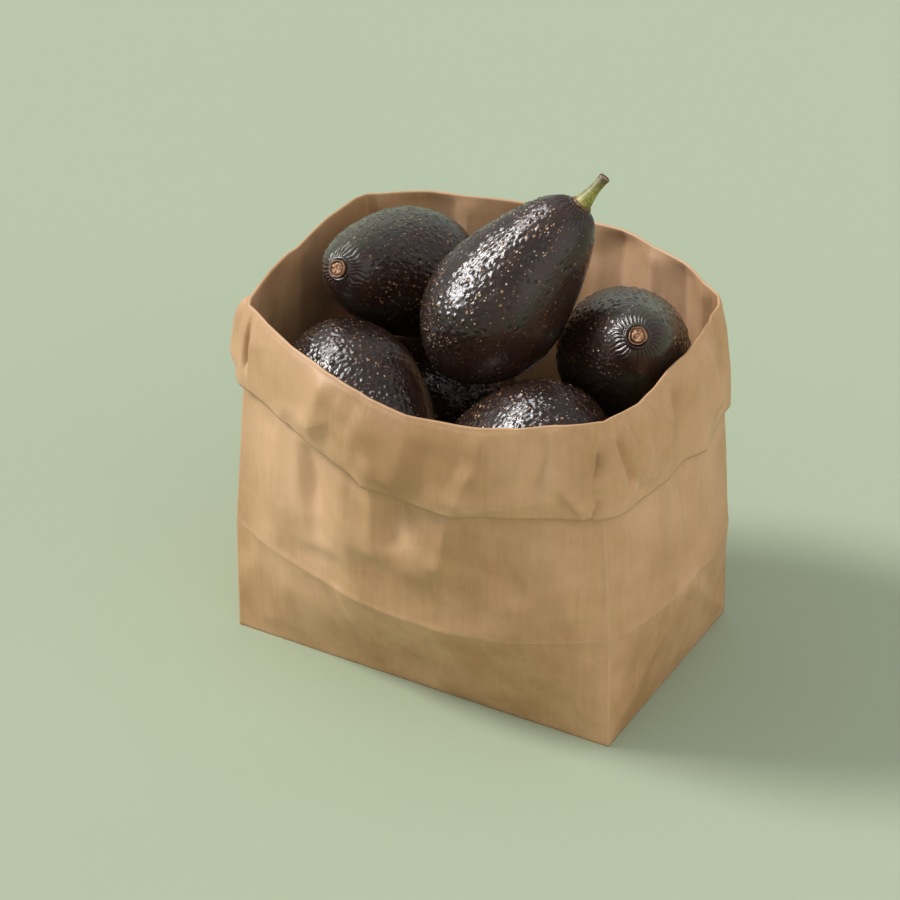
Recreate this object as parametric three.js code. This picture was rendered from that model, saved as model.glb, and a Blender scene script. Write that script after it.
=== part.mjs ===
// A square-bottomed paper bag with a turned-down cuff, filled with avocados.
// Millimetres, +Z up.  The origin is the middle of the bag's flat bottom, on the surface it stands on.
// The wide front panel faces -Y, and +X is to its right.
import * as THREE from "three";

// ---- Driving dimensions: the bag ----
const BAG_WIDTH = 195;      // the flat bottom, along X
const BAG_DEPTH = 121.4;    // the flat bottom, along Y
const FOLD_HEIGHT = 168;    // paper from the bottom edge up to the fold at the mouth
const CUFF = 44;            // paper turned down outside the mouth
const CREASE_HEIGHT = 57;   // paper from the bottom edge up to the crease of the folded-flat bag
const PAPER = 0.5;          // thickness of the wall
const FLOOR = 1;            // thickness of the bottom, where folded flaps lie on each other
const FOLD_GAP = 0.7;       // between the wall and the cuff, just under the fold
const CUFF_STAND_OFF = 3;   // between the wall and the cuff's lower edge

// How far the filled bag's corners pull in, its panels belly out and its mouth leans, level by level.
const BOTTOM = { up: 0, pullX: 0, pullY: 0, front: 0, back: 0, side: 0, lean: 0 };
const CREASE = { up: CREASE_HEIGHT, pullX: 1.5, pullY: 0.7, front: 23, back: 18, side: 9, lean: 0 };
const WAIST = { up: FOLD_HEIGHT - CUFF, pullX: 5.5, pullY: 2.7, front: 28, back: 26, side: 7.5, lean: -2 };
const MOUTH = { up: FOLD_HEIGHT, pullX: 6, pullY: 4.7, front: 33, back: 33, side: 6.5, lean: -3 };
const LEVELS = [BOTTOM, CREASE, WAIST, MOUTH];

// ---- Driving dimensions: the fruit ----
const FRUIT_LENGTH = 102;   // an average fruit, from blossom end to stem end
const FRUIT_GIRTH = 65;     // its largest diameter
const CLEARANCE = 0.4;      // between a fruit and whatever it rests on or beside
const SEAT_RADIUS = 5.2;    // the dimple that the stem grows from, at its mouth
const SEAT_FLOOR_RADIUS = 3.6;
const SEAT_DEPTH = 2.2;
const SEAT_GAP = 0.3;       // between the dimple's floor and the stem in it
const BUTTON_RADIUS = 4.1;  // a woody stem scar, and the foot of a stem
const BUTTON_RISE = 1.8;    // above the dimple's mouth
const STEM_LENGTH = 16.5;   // the green stem left on the top fruit, above the dimple's mouth
const STEM_NECK = 2;        // its radius half way up
const STEM_TIP = 2.6;       // its radius at the cut end

// ---- Fineness of the meshes ----
const PANEL_STEPS = 14;
const GUSSET_STEPS = 10;
const FRUIT_SIDES = 22;
const FRUIT_STEPS = 16;
const STEM_SIDES = 12;

// ---- How finely the fruit are lowered into place ----
const SETTLED = 0.05;       // a gap this close to CLEARANCE is at rest
const LOWERING = 0.6;       // each step down, as a share of the gap that is left
const SLIDING = 0.98;       // each step off a wall, as a share of the distance to the middle

// ---- Where each fruit lies ----
// across and along run from -1 to 1 over the room that the fruit has on the bag's bottom, left to
// right and front to back; past 1 it lies in a bellied panel.  turn is the compass angle of its stem
// end from +X and tilt is that end's rise, both in degrees.  Each fruit is lowered on the ones above it
// in this list, so its height follows from theirs.
const FRUITS = [
  { name: "bottom_back_left", across: -0.88, along: 1, turn: 180, tilt: 2, length: 0.86, girth: 0.9 },
  { name: "bottom_back_right", across: 0.78, along: 1, turn: 0, tilt: 2, length: 0.86, girth: 0.9 },
  { name: "bottom_front_left", across: -0.88, along: -1, turn: 100, tilt: 76, length: 1.03, girth: 0.92 },
  { name: "bottom_front_right", across: 0.8, along: -1, turn: 120, tilt: 68, length: 0.98, girth: 0.92 },
  { name: "bottom_front", across: -0.06, along: -1.2, turn: 95, tilt: 40, length: 0.78, girth: 0.82 },
  { name: "middle_back_left", across: -0.9, along: 1.4, turn: 175, tilt: 0, length: 0.86, girth: 0.95 },
  { name: "middle_back_right", across: 0.73, along: 1.3, turn: 5, tilt: 0, length: 0.84, girth: 0.91 },
  { name: "front_right", across: 0.75, along: -1.36, turn: 163, tilt: -31, length: 1.03, girth: 1.02 },
  { name: "front_left", across: -0.74, along: -1.85, turn: -30, tilt: -8, length: 0.99, girth: 1 },
  { name: "back_left", across: -0.9, along: 2, turn: -95, tilt: 26, length: 1.02, girth: 0.98 },
  { name: "back_right", across: 0.98, along: 1, turn: -57, tilt: 38, length: 0.97, girth: 0.97 },
  { name: "top", across: 0.25, along: -0.15, turn: 37, tilt: 52, length: 1, girth: 1, stemmed: true },
];

const KRAFT = { color: 0xb08a63, roughness: 0.85, metalness: 0 };
const SKIN = { color: 0x2c2624, roughness: 0.45, metalness: 0 };
const WOOD = { color: 0xa56c3f, roughness: 0.8, metalness: 0 };
const GREEN_STEM = { color: 0x93853f, roughness: 0.7, metalness: 0 };

const RADIANS = Math.PI / 180;
const model = new THREE.Group();

function addMesh(group, name, geometry, finish) {
  const mesh = new THREE.Mesh(geometry, new THREE.MeshStandardMaterial(finish));
  mesh.name = name;
  group.add(mesh);
}

// ---- The bag ----

// How far a panel bellies out, as a share of its belly, at s from -1 at one corner to 1 at the next.
const belly = (s) => 1 - s * s;

// The level at a length of paper above the bottom edge, blended from the two around it.
function levelAt(up) {
  const next = Math.max(1, LEVELS.findIndex((level) => level.up >= up));
  const [low, high] = [LEVELS[next - 1], LEVELS[next]];
  const share = (up - low.up) / (high.up - low.up);
  const mix = (key) => THREE.MathUtils.lerp(low[key], high[key], share);
  return Object.fromEntries(Object.keys(low).map((key) => [key, mix(key)]));
}

// The bag's outer outline at one level, in plan, anticlockwise from the front left corner.
function outline(level) {
  const halfX = BAG_WIDTH / 2 - level.pullX;
  const halfY = BAG_DEPTH / 2 - level.pullY;
  const points = [];
  const walk = (steps, place) => {
    for (let i = 0; i < steps; i += 1) {
      points.push(place((2 * i) / steps - 1));
    }
  };
  walk(PANEL_STEPS, (s) => new THREE.Vector2(halfX * s, -halfY - level.front * belly(s)));
  walk(GUSSET_STEPS, (s) => new THREE.Vector2(halfX + level.side * belly(s), halfY * s));
  walk(PANEL_STEPS, (s) => new THREE.Vector2(-halfX * s, halfY + level.back * belly(s)));
  walk(GUSSET_STEPS, (s) => new THREE.Vector2(-halfX - level.side * belly(s), -halfY * s));
  points.forEach((point) => point.setX(point.x + level.lean));
  return points;
}

// Paper doesn't stretch, so where it slants outwards it reaches less high.
function heightsAt(up) {
  const passed = LEVELS.filter((level) => level.up < up);
  const stops = [...passed, levelAt(up)];
  const heights = outline(BOTTOM).map(() => 0);
  for (let k = 1; k < stops.length; k += 1) {
    const [from, to] = [outline(stops[k - 1]), outline(stops[k])];
    const paper = stops[k].up - stops[k - 1].up;
    from.forEach((point, i) => {
      heights[i] += Math.sqrt(paper ** 2 - point.distanceToSquared(to[i]));
    });
  }
  return heights;
}

// One ring round the bag: the outline moved outwards by offset, square to its edges.
function ring(up, offset) {
  const points = outline(levelAt(up));
  const heights = heightsAt(up);
  const count = points.length;
  const outwards = points.map((point, i) => {
    const edge = points[(i + 1) % count].clone().sub(point);
    return new THREE.Vector2(edge.y, -edge.x).normalize();
  });
  return points.map((point, i) => {
    const before = outwards[(i + count - 1) % count];
    const after = outwards[i];
    const miter = before.clone().add(after).divideScalar(1 + before.dot(after));
    const moved = point.clone().addScaledVector(miter, offset);
    return new THREE.Vector3(moved.x, moved.y, heights[i]);
  });
}

// The paper as one closed skin: up the outside, over the inside and outside of the cuff, then down
// the inside to the bottom.
function bagGeometry() {
  const underFold = FOLD_HEIGHT - 2 * PAPER;
  const rings = [
    ring(BOTTOM.up, 0),
    ring(CREASE.up, 0),
    ring(WAIST.up, 0),
    ring(underFold, 0),
    ring(underFold, FOLD_GAP),
    ring(WAIST.up, CUFF_STAND_OFF),
    ring(WAIST.up, CUFF_STAND_OFF + PAPER),
    ring(underFold, FOLD_GAP + PAPER),
    ring(FOLD_HEIGHT, FOLD_GAP / 2),
    ring(underFold, -PAPER),
    ring(WAIST.up, -PAPER),
    ring(CREASE.up, -PAPER),
    ring(FLOOR, -PAPER).map((point) => point.setZ(FLOOR)),
  ];
  const around = rings[0].length;
  const points = rings.flat();
  const faces = [];
  for (let i = 0; i < around; i += 1) {
    const next = (i + 1) % around;
    for (let k = 0; k < rings.length - 1; k += 1) {
      const [low, high] = [k * around, (k + 1) * around];
      faces.push(low + i, low + next, high + next, low + i, high + next, high + i);
    }
    const top = points.length - around;
    faces.push(points.length, next, i);
    faces.push(points.length + 1, top + i, top + next);
  }
  points.push(new THREE.Vector3(0, 0, 0), new THREE.Vector3(0, 0, FLOOR));
  const geometry = new THREE.BufferGeometry().setFromPoints(points);
  geometry.setIndex(faces);
  return geometry;
}

// How far a point stands inside the bag's walls, measured square to the plain box of panels.
function roomAt(point) {
  if (point.z > LEVELS.at(-1).up) {
    return Infinity;
  }
  const level = levelAt(Math.max(point.z, 0));
  const halfX = BAG_WIDTH / 2 - level.pullX;
  const halfY = BAG_DEPTH / 2 - level.pullY;
  const x = point.x - level.lean;
  const acrossBelly = belly(THREE.MathUtils.clamp(x / halfX, -1, 1));
  const alongBelly = belly(THREE.MathUtils.clamp(point.y / halfY, -1, 1));
  const front = point.y + halfY + level.front * acrossBelly;
  const back = halfY + level.back * acrossBelly - point.y;
  const side = halfX + level.side * alongBelly - Math.abs(x);
  return Math.min(front, back, side) - PAPER;
}

// ---- The fruit ----

// How much an avocado is filled out beside an ellipsoid of its length and girth, with c running from
// 1 at the blossom end to -1 at the stem end: full before the middle, drawn in to a neck after it.
const fullness = (c) => 0.954 + 0.289 * c - 0.01 * c ** 2 - 0.257 * c ** 3;

// A fruit's radius at an angle from the blossom end (0) round to the stem end (pi).
const skinRadius = (fruit, angle) => fruit.radius * Math.sin(angle) * fullness(Math.cos(angle));

// A fruit is turned from a profile.  Its own +Y runs from the blossom end to the stem end.
function skinProfile(fruit) {
  const lastAngle = Math.PI - Math.asin(SEAT_RADIUS / (fruit.radius * fullness(-1)));
  const points = [];
  for (let i = 0; i <= FRUIT_STEPS; i += 1) {
    const angle = (lastAngle * i) / FRUIT_STEPS;
    points.push(new THREE.Vector2(skinRadius(fruit, angle), -fruit.half * Math.cos(angle)));
  }
  return points;
}

function fruitGeometry(fruit) {
  const profile = skinProfile(fruit);
  const seat = profile.at(-1);
  profile[0].setX(0);
  profile.push(new THREE.Vector2(SEAT_FLOOR_RADIUS, seat.y - SEAT_DEPTH));
  profile.push(new THREE.Vector2(0, seat.y - SEAT_DEPTH));
  return new THREE.LatheGeometry(profile, FRUIT_SIDES);
}

// A stem part is turned about the same axis; its foot clears the dimple by SEAT_GAP.
function seatedGeometry(fruit, shape) {
  const mouth = skinProfile(fruit).at(-1).y;
  const foot = mouth - SEAT_DEPTH + SEAT_GAP;
  const points = [
    new THREE.Vector2(0, foot),
    new THREE.Vector2(SEAT_FLOOR_RADIUS - SEAT_GAP, foot),
    ...shape.map(([radius, height]) => new THREE.Vector2(radius, mouth + height)),
  ];
  return new THREE.LatheGeometry(points, STEM_SIDES);
}

// The grey-brown scar left where a stem snapped off: a low disc with a rounded rim.
const buttonShape = [
  [BUTTON_RADIUS, 0],
  [BUTTON_RADIUS, 0.6 * BUTTON_RISE],
  [0.85 * BUTTON_RADIUS, BUTTON_RISE],
  [0, BUTTON_RISE],
];

// A cut stem: a flared foot, a thinner neck and a slightly wider cut end.
const stemShape = [
  [BUTTON_RADIUS, 0],
  [0.95 * BUTTON_RADIUS, 0.12 * STEM_LENGTH],
  [1.25 * STEM_NECK, 0.3 * STEM_LENGTH],
  [STEM_NECK, 0.6 * STEM_LENGTH],
  [STEM_TIP, STEM_LENGTH],
  [0, STEM_LENGTH],
];

// A fruit's own sizes, its direction from blossom end to stem end, and its place on the bottom.
function prepare(entry) {
  const radius = (entry.girth * FRUIT_GIRTH) / 2;
  const half = (entry.length * FRUIT_LENGTH) / 2;
  const turn = entry.turn * RADIANS;
  const tilt = entry.tilt * RADIANS;
  const flat = Math.cos(tilt);
  const axis = new THREE.Vector3(Math.cos(turn) * flat, Math.sin(turn) * flat, Math.sin(tilt));
  const halfExtent = (share) => Math.hypot(half * share, radius * Math.sqrt(1 - share ** 2));
  const x = entry.across * (BAG_WIDTH / 2 - halfExtent(axis.x));
  const y = entry.along * (BAG_DEPTH / 2 - halfExtent(axis.y));
  return { ...entry, radius, half, axis, centre: new THREE.Vector3(x, y, 0) };
}

// Points over a fruit's skin and the tip of its button, from its centre.
function surfacePoints(fruit) {
  const turned = new THREE.Quaternion().setFromUnitVectors(new THREE.Vector3(0, 1, 0), fruit.axis);
  const points = [new THREE.Vector3(0, fruit.half + BUTTON_RISE, 0)];
  for (let i = 0; i <= FRUIT_STEPS; i += 1) {
    const angle = (Math.PI * i) / FRUIT_STEPS;
    const radius = skinRadius(fruit, angle);
    for (let k = 0; k < FRUIT_SIDES; k += 1) {
      const around = (2 * Math.PI * k) / FRUIT_SIDES;
      const y = -fruit.half * Math.cos(angle);
      points.push(new THREE.Vector3(radius * Math.sin(around), y, radius * Math.cos(around)));
    }
  }
  return points.map((point) => point.applyQuaternion(turned));
}

// How far a point lies outside a fruit, along the line from the fruit's centre, or outside its button.
function distanceTo(fruit, point) {
  const fromCentre = point.clone().sub(fruit.centre);
  const along = fromCentre.dot(fruit.axis);
  const distance = fromCentre.length();
  const radial = Math.sqrt(Math.max(0, distance ** 2 - along ** 2));
  const c = THREE.MathUtils.clamp(-along / fruit.half, -1, 1);
  const scale = Math.hypot(along / fruit.half, radial / (fruit.radius * fullness(c)));
  const toSkin = distance * (1 - 1 / Math.max(scale, 1e-6));
  const toButton = Math.hypot(along - fruit.half + BUTTON_RADIUS - BUTTON_RISE, radial) - BUTTON_RADIUS;
  return Math.min(toSkin, toButton);
}

// The smallest gaps between a fruit and the bag's walls, and between it and what it can rest on.
function gapsRound(fruit, points, settled) {
  const placed = points.map((point) => point.clone().add(fruit.centre));
  const wall = Math.min(...placed.map(roomAt));
  let rest = Math.min(...placed.map((point) => point.z - FLOOR));
  for (const other of settled) {
    const toOther = placed.map((point) => distanceTo(other, point));
    const fromOther = other.skin.map((point) => distanceTo(fruit, point));
    rest = Math.min(rest, ...toOther, ...fromOther);
  }
  return { wall, rest };
}

// Lower each fruit, in steps shorter than its gap, until it comes to rest on something.  One that
// meets a wall on its way down slides in towards the middle of the bag.
function settle(entries) {
  const settled = [];
  const slideIn = new THREE.Vector3(SLIDING, SLIDING, 1);
  const isClose = (gap) => gap <= CLEARANCE + SETTLED;
  const isWedged = ({ x, y }) => Math.hypot(x, y) < SETTLED;
  for (const fruit of entries.map(prepare)) {
    const points = surfacePoints(fruit);
    const highest = Math.max(0, ...settled.map((other) => other.centre.z + other.half));
    fruit.centre.z = highest + fruit.half + FLOOR;
    let { wall, rest } = gapsRound(fruit, points, settled);
    while (!isClose(rest) && !(isClose(wall) && isWedged(fruit.centre))) {
      if (isClose(wall)) {
        fruit.centre.multiply(slideIn);
      } else {
        fruit.centre.z -= Math.max(SETTLED, LOWERING * (Math.min(wall, rest) - CLEARANCE));
      }
      ({ wall, rest } = gapsRound(fruit, points, settled));
    }
    fruit.skin = points.map((point) => point.clone().add(fruit.centre));
    settled.push(fruit);
  }
  return settled;
}

// ---- The whole ----

addMesh(model, "paper_bag", bagGeometry(), KRAFT);
for (const fruit of settle(FRUITS)) {
  const place = new THREE.Group();
  place.position.copy(fruit.centre);
  place.quaternion.setFromUnitVectors(new THREE.Vector3(0, 1, 0), fruit.axis);
  model.add(place);
  addMesh(place, `avocado_${fruit.name}`, fruitGeometry(fruit), SKIN);
  if (fruit.stemmed) {
    addMesh(place, `stem_${fruit.name}`, seatedGeometry(fruit, stemShape), GREEN_STEM);
  } else {
    addMesh(place, `button_${fruit.name}`, seatedGeometry(fruit, buttonShape), WOOD);
  }
}

export default model;
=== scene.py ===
# %% [markdown]
# # Avocados in a paper bag
# Twelve dark, pebbly avocados fill a square-bottomed kraft bag, its mouth turned down as a cuff.
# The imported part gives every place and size; this script adds the real surfaces and finishes.
# Each shape is a formula over two parameters, worked out with numpy as whole arrays.

import math

import bpy
import numpy as np
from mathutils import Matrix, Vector


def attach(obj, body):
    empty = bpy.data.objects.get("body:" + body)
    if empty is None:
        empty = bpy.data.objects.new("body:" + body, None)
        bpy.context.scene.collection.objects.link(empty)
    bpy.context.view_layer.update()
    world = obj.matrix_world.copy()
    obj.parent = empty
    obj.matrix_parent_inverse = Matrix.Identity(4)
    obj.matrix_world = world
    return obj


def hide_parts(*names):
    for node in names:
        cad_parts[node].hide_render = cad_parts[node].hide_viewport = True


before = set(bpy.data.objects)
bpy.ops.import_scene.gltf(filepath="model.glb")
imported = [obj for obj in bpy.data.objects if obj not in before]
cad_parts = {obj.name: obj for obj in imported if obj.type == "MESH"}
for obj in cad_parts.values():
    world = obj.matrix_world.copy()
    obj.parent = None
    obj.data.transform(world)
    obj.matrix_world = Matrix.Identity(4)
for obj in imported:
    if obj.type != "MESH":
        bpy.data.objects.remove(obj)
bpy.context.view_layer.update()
MM = 0.001

# %% [markdown]
# ## Camera
# A long lens flattens the view, as in a catalogue picture. The camera is placed by two angles and a
# distance from the point that it looks at, which is easier to reason about than three coordinates.

# %% Camera
LENS = 135
CAMERA_AZIMUTH = math.radians(29.2)
CAMERA_ELEVATION = math.radians(32.4)
CAMERA_DISTANCE = 1.5566
CAMERA_TARGET = Vector((-0.0166, -0.0021, 0.09))

camera = bpy.data.objects.new("camera", bpy.data.cameras.new("camera"))
bpy.context.scene.collection.objects.link(camera)
camera.data.lens = LENS
camera_back = Vector((
    math.sin(CAMERA_AZIMUTH) * math.cos(CAMERA_ELEVATION),
    -math.cos(CAMERA_AZIMUTH) * math.cos(CAMERA_ELEVATION),
    math.sin(CAMERA_ELEVATION),
))
camera.location = CAMERA_TARGET + camera_back * CAMERA_DISTANCE
camera.rotation_euler = (-camera_back).to_track_quat("-Z", "Y").to_euler()
bpy.context.scene.camera = camera
print("camera at", [round(x, 3) for x in camera.location])

# %% [markdown]
# ## Light
# A studio lights food with one big soft lamp from the side, and pale walls fill the shadows. A sun
# lamp with a wide disc does the same for the whole floor: its angle sets how soft a shadow's edge
# is. A wider, weaker one stands for the reflector on the camera's side, and two white cards beside
# the key, which only glossy skin shows, give each fruit its bright highlights.

# %% Light
KEY_FROM = Vector((-0.69, -0.20, 0.69))
KEY_ANGLE = math.radians(15)
KEY_STRENGTH = 2.35
FILL_FROM = Vector((0.85, -0.30, 0.45))
FILL_ANGLE = math.radians(70)
FILL_STRENGTH = 0.75
SHINE_FROM = (Vector((-0.73, -0.50, 0.46)), Vector((-0.58, 0.10, 0.81)))
SHINE_ANGLE = math.radians(26)
SHINE_STRENGTH = (4.8, 1.9)
KEY_COLOR = (1, 0.97, 0.93)
FILL_COLOR = (1, 0.98, 0.95)
SHINE_COLOR = (1, 0.99, 1)
SKY_COLOR = (1.0, 0.99, 0.98, 1)
SKY_STRENGTH = 0.56


def add_sun(name, toward, angle, strength, color):
    """A sun lamp that shines from the given direction, with a disc that many radians across."""
    lamp = bpy.data.objects.new(name, bpy.data.lights.new(name, "SUN"))
    lamp.data.angle = angle
    lamp.data.energy = strength
    lamp.data.color = color
    lamp.rotation_euler = toward.to_track_quat("Z", "Y").to_euler()
    bpy.context.scene.collection.objects.link(lamp)
    return lamp


add_sun("key_light", KEY_FROM, KEY_ANGLE, KEY_STRENGTH, KEY_COLOR)
add_sun("fill_light", FILL_FROM, FILL_ANGLE, FILL_STRENGTH, FILL_COLOR)
for toward, strength in zip(SHINE_FROM, SHINE_STRENGTH):
    card = add_sun("shine_card", toward, SHINE_ANGLE, strength, SHINE_COLOR)
    card.visible_diffuse = False
world = bpy.data.worlds.new("studio")
world.use_nodes = True
world.node_tree.nodes["Background"].inputs["Color"].default_value = SKY_COLOR
world.node_tree.nodes["Background"].inputs["Strength"].default_value = SKY_STRENGTH
bpy.context.scene.world = world
bpy.context.scene.view_settings.view_transform = "Standard"

# %% [markdown]
# ## Helpers for materials
# A procedural material is a small program of nodes. Each helper makes a node, links its inputs and
# sets its values in one call, so that each finish further down reads like a recipe.

# %% Material helpers
MIX_FIRST, MIX_SECOND, MIX_RESULT = 6, 7, 2  # the colour sockets of a Mix node, by number


def new_material(name):
    """A new material and its shader."""
    material = bpy.data.materials.new(name)
    material.use_nodes = True
    return material, material.node_tree.nodes["Principled BSDF"]


def add_node(material, kind, settings=None, **inputs):
    """One shader node. Settings are its properties; inputs are values, or sockets to link from."""
    node = material.node_tree.nodes.new("ShaderNode" + kind)
    for key, value in (settings or {}).items():
        setattr(node, key, value)
    for key, value in inputs.items():
        connect(material, value, node.inputs[key.replace("_", " ")])
    return node


def connect(material, value, socket):
    """Link a socket to a socket, or set a plain value on it."""
    if isinstance(value, bpy.types.NodeSocket):
        material.node_tree.links.new(value, socket)
    else:
        socket.default_value = value


def ramp(material, factor, stops):
    """A colour ramp: stops are (place, colour) pairs in order."""
    node = add_node(material, "ValToRGB", Fac=factor)
    elements = node.color_ramp.elements
    while len(elements) < len(stops):
        elements.new(0.5)
    for element, (place, color) in zip(elements, stops):
        element.position = place
        element.color = (*color, 1)
    return node.outputs["Color"]


def mix_colors(material, factor, first, second, blend="MIX"):
    """Two colours mixed by a factor."""
    node = material.node_tree.nodes.new("ShaderNodeMix")
    node.data_type = "RGBA"
    node.blend_type = blend
    connect(material, factor, node.inputs["Factor"])
    connect(material, first, node.inputs[MIX_FIRST])
    connect(material, second, node.inputs[MIX_SECOND])
    return node.outputs[MIX_RESULT]


def arithmetic(material, operation, first, second=0.5, third=0.5):
    """One sum on numbers."""
    node = add_node(material, "Math", {"operation": operation})
    for value, socket in zip((first, second, third), node.inputs):
        connect(material, value, socket)
    return node.outputs["Value"]


def attribute(material, name, output="Fac"):
    """A value that the mesh carries at each of its points."""
    return add_node(material, "Attribute", {"attribute_name": name}).outputs[output]


def stretched(material, vector, scale):
    """A place times three scales, so that a pattern gets longer or shorter along an axis."""
    return add_node(material, "Mapping", Vector=vector, Scale=scale).outputs["Vector"]


def noise(material, vector, scale, detail=3.0, roughness=0.55):
    """Cloudy noise, from 0 to 1."""
    node = add_node(material, "TexNoise", Vector=vector, Scale=scale, Detail=detail)
    node.inputs["Roughness"].default_value = roughness
    return node.outputs["Fac"]


def spread(material, value, low, high):
    """A value from low to high, spread out to 0 to 1 and cut off at both ends."""
    inputs = {"Value": value, "From_Min": low, "From_Max": high}
    return add_node(material, "MapRange", {"clamp": True}, **inputs).outputs["Result"]


def bump(material, height, strength, distance, below=None):
    """Small relief from a height, on top of another bump if one is given."""
    inputs = {"Height": height, "Strength": strength, "Distance": distance}
    node = add_node(material, "Bump", **inputs)
    if below is not None:
        connect(material, below, node.inputs["Normal"])
    return node.outputs["Normal"]


# %% [markdown]
# ## Helpers for shapes
# A round or folded surface is a grid of points: rows run along it and columns run around it. One
# helper turns such a grid into a closed mesh. Natural roughness comes from two kinds of noise, both
# repeatable because each lattice corner's random number is worked out from its own place.

# %% Grid to mesh


def close_rows(name, rows, finish, attributes=None):
    """A closed mesh from rows of points. Each row is a ring; the first and last shrink to a point.

    rows has the shape (rows, columns, 3), in metres. Face (i, j) joins columns j and j+1 of rows i
    and i+1, and a fan of triangles closes each end on its ring's middle.
    """
    count, around = rows.shape[:2]
    column = np.arange(around)
    following = (column + 1) % around
    start = around * np.arange(count - 1)[:, None]
    above = start + around
    quads = np.stack([start + column, start + following, above + following, above + column])
    faces = quads.transpose(1, 2, 0).reshape(-1, 4).tolist()
    first, last = count * around, count * around + 1
    end = (count - 1) * around
    faces += np.stack([following, column, np.full(around, first)], 1).tolist()
    faces += np.stack([end + column, end + following, np.full(around, last)], 1).tolist()
    points = np.vstack([rows.reshape(-1, 3), rows[0].mean(0), rows[-1].mean(0)])
    mesh = bpy.data.meshes.new(name)
    mesh.from_pydata(points.tolist(), [], faces)
    mesh.polygons.foreach_set("use_smooth", np.ones(len(faces), bool))
    for key, values in (attributes or {}).items():
        store(mesh, key, np.asarray(values, float))
    mesh.materials.append(finish)
    piece = bpy.data.objects.new(name, mesh)
    bpy.context.scene.collection.objects.link(piece)
    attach(piece, "root")
    return piece


def store(mesh, key, values):
    """Puts a number or vector at each point of the mesh; an end point takes its ring's average."""
    ends = np.stack([values[0].mean(0), values[-1].mean(0)])
    flat = np.concatenate([values.reshape(-1, *values.shape[2:]), ends])
    kind, field = ("FLOAT_VECTOR", "vector") if values.ndim == 3 else ("FLOAT", "value")
    mesh.attributes.new(key, kind, "POINT").data.foreach_set(field, flat.astype(np.float32).ravel())


# %% Noise
AXIS_FACTORS = (73856093, 19349663, 83492791)
SEED_FACTOR, SEED_START = 40503, 12345
MIXING = ((15, 2246822519), (13, 3266489917))
WORD, FRACTION = 0xFFFFFFFF, 0xFFFFFF  # the lowest 32 bits, and the lowest 24


def corner_values(cell, seed):
    """0 to 1 for each lattice corner: its whole numbers times big odd numbers, mixed bit by bit."""
    mixed = cell[..., 0] * AXIS_FACTORS[0]
    mixed = mixed ^ cell[..., 1] * AXIS_FACTORS[1] ^ cell[..., 2] * AXIS_FACTORS[2]
    mixed = (mixed ^ (seed * SEED_FACTOR + SEED_START)) & WORD
    for shift, factor in MIXING:
        mixed = ((mixed ^ (mixed >> shift)) * factor) & WORD
    return ((mixed ^ (mixed >> 16)) & FRACTION) / FRACTION


def soft_noise(points, seed):
    """Smooth noise, -1 to 1: lattice corners' values blended by the S-curve 3t^2 - 2t^3."""
    cell = np.floor(points).astype(np.int64)
    share = points - cell
    share = share * share * (3 - 2 * share)
    total = np.zeros(points.shape[:-1])
    for corner in np.ndindex(2, 2, 2):
        weight = np.prod(np.where(corner, share, 1 - share), axis=-1)
        total += weight * corner_values(cell + np.array(corner), seed)
    return 2 * total - 1


def cell_distances(points, seed):
    """Distances to the nearest and second nearest of sites scattered one to each lattice cell."""
    cell = np.floor(points).astype(np.int64)
    nearest = np.full(points.shape[:-1], np.inf)
    second = nearest.copy()
    for corner in np.ndindex(3, 3, 3):
        other = cell + np.array(corner) - 1
        jitter = np.stack([corner_values(other, seed + k) for k in (1, 2, 3)], -1)
        distance = np.linalg.norm(points - other - 0.1 - 0.8 * jitter, axis=-1)
        second = np.minimum(second, np.maximum(nearest, distance))
        nearest = np.minimum(nearest, distance)
    return nearest, second


def smooth_step(value, low, high):
    """0 below low, 1 above high, and the S-curve 3t^2 - 2t^3 between."""
    share = np.clip((value - low) / (high - low), 0, 1)
    return share * share * (3 - 2 * share)


print("noise check:", round(float(soft_noise(np.array([[0.3, 1.7, 2.2]]), 1)[0]), 3))

# %% [markdown]
# ## Floor
# A plain pale green sweep of card. It is far larger than the view, so that no edge shows.

# %% Floor
FLOOR_HALF = 6.0
FLOOR_DARK = (0.398, 0.474, 0.345)
FLOOR_LIGHT = (0.406, 0.482, 0.352)

floor_finish, floor_shader = new_material("sage_card")
floor_shader.inputs["Roughness"].default_value = 0.9
floor_shader.inputs["Specular IOR Level"].default_value = 0.15
floor_place = add_node(floor_finish, "TexCoord").outputs["Object"]
floor_grain = noise(floor_finish, floor_place, 3.0)
floor_color = ramp(floor_finish, floor_grain, [(0.3, FLOOR_DARK), (0.7, FLOOR_LIGHT)])
connect(floor_finish, floor_color, floor_shader.inputs["Base Color"])
floor_mesh = bpy.data.meshes.new("floor")
around_floor = ((-1, -1), (1, -1), (1, 1), (-1, 1))
floor_corners = [(x * FLOOR_HALF, y * FLOOR_HALF, 0) for x, y in around_floor]
floor_mesh.from_pydata(floor_corners, [], [(0, 1, 2, 3)])
floor_mesh.materials.append(floor_finish)
floor = bpy.data.objects.new("floor", floor_mesh)
bpy.context.scene.collection.objects.link(floor)
print("floor is", 2 * FLOOR_HALF, "m wide")
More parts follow.
